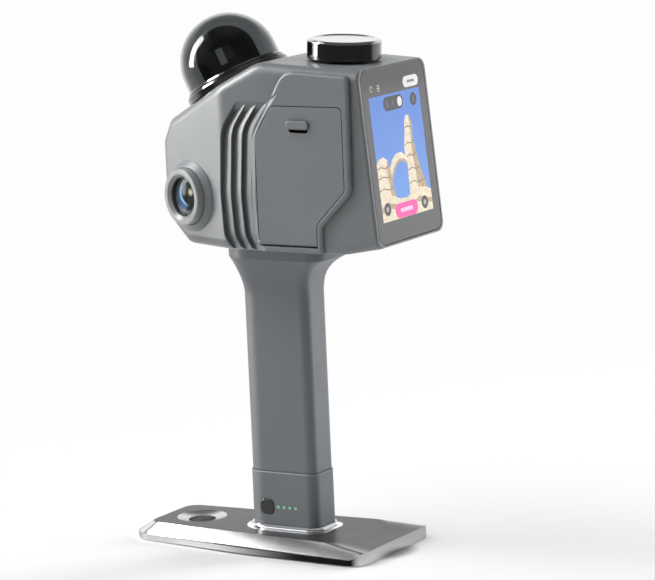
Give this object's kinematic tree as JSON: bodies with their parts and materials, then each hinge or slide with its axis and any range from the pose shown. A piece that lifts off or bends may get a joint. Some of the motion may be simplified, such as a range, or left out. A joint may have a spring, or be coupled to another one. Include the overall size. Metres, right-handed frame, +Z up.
{
  "type": "desktop 3d scanner",
  "caption": "Handheld spatial scanner standing on a flat base plate, with a domed rotating distance sensor, side cameras, ribbed head, hinged side cover, push knob and tilted touch screen.",
  "frame": {"origin": "on the table, straight under the axis of the grip", "axes": "+Z up; the sensor nose points to -Y and the touch screen to +Y; the hinged side cover is on the +X side"},
  "size_m": [0.0898, 0.1927, 0.3257],
  "materials": {
    "shell_grey": "satin",
    "cover_grey": "satin",
    "grip_grey": "satin",
    "plate_metal": "polished, cloudy",
    "collar_metal": "polished",
    "pad_rubber": "matt",
    "screw_steel": "satin",
    "brass": "satin",
    "dark_plastic": "matt",
    "gloss_black": "glossy",
    "smoked_dome": "glossy, smoked",
    "mirror": "polished",
    "screen_black": "glossy",
    "panel": "lit",
    "lens_glass": "coated",
    "ring_metal": "satin",
    "knob_chrome": "polished",
    "board_green": "matt",
    "cell_wrap": "wrapped",
    "green_light": "lit"
  },
  "bodies": {
    "stand": {"base_plate": "plate_metal", "base_feet": "pad_rubber", "foot_collar": "collar_metal", "battery_case": "grip_grey", "battery_cap": "dark_plastic", "battery_cells": "cell_wrap", "battery_contacts": "brass", "battery_window": "green_light", "button_switch": "dark_plastic", "thread_insert": "brass"},
    "clamp_screw": {"clamp_screw": "screw_steel"},
    "battery_button": {"battery_button": "gloss_black"},
    "scanner": {"grip_sleeve": "grip_grey", "grip_contacts": "dark_plastic", "neck_screws": "screw_steel", "head_shell": "shell_grey", "head_floor": "shell_grey", "screen_seal": "pad_rubber", "display_panel": "panel", "screen_glass": "screen_black", "mainboard": "board_green", "heat_sink": "screw_steel", "lidar_seat": "gloss_black", "lidar_dome": "smoked_dome", "lidar_motor": "dark_plastic", "lens_ring_right": "ring_metal", "lens_ring_left": "ring_metal", "lens_right": "lens_glass", "lens_left": "lens_glass", "camera_right": "gloss_black", "camera_left": "gloss_black", "knob_collar": "dark_plastic", "knob_encoder": "dark_plastic", "hatch_pin": "screw_steel", "service_cover": "cover_grey", "cover_screws": "screw_steel", "bay_tray": "dark_plastic", "port_block": "dark_plastic"},
    "rotor": {"lidar_rotor": "gloss_black", "lidar_mirror": "mirror"},
    "knob_plunger": {"knob_shaft": "screw_steel"},
    "knob": {"knob_body": "gloss_black", "knob_cap": "knob_chrome"},
    "hatch": {"hatch_right": "cover_grey"},
    "catch": {"hatch_catch": "cover_grey"},
    "card": {"memory_card": "gloss_black"}
  },
  "joints": [
    {"name": "lift_off", "type": "slide", "parent": "stand", "child": "scanner", "axis": [0, 0, 1], "range_m": [0, 0.125]},
    {"name": "clamp_turn", "type": "hinge", "parent": "stand", "child": "clamp_screw", "pos_m": [0, 0, 0.003], "axis": [0, 0, 1], "continuous": true},
    {"name": "battery_press", "type": "slide", "parent": "stand", "child": "battery_button", "axis": [-1, 0, 0], "range_m": [0, 0.0008], "stiffness_N_per_m": 400, "springref_m": -0.001},
    {"name": "sensor_spin", "type": "hinge", "parent": "scanner", "child": "rotor", "pos_m": [0, -0.02422, 0.28225], "axis": [0, -0.454, 0.891], "continuous": true},
    {"name": "knob_press", "type": "slide", "parent": "scanner", "child": "knob_plunger", "axis": [0, -0.0593, -0.9982], "range_m": [0, 0.0008], "stiffness_N_per_m": 900, "springref_m": -0.002},
    {"name": "knob_turn", "type": "hinge", "parent": "knob_plunger", "child": "knob", "pos_m": [0, 0.0496, 0.29835], "axis": [0, 0.0593, 0.9982], "continuous": true},
    {"name": "hatch_hinge", "type": "hinge", "parent": "scanner", "child": "hatch", "pos_m": [0.0421, 0.032, 0.1943], "axis": [0, 1, 0], "range_deg": [0, 95]},
    {"name": "catch_slide", "type": "slide", "parent": "hatch", "child": "catch", "axis": [0, 0, -1], "range_m": [0, 0.0026]},
    {"name": "card_pull", "type": "slide", "parent": "scanner", "child": "card", "axis": [1, 0, 0], "range_m": [0, 0.004]}
  ]
}
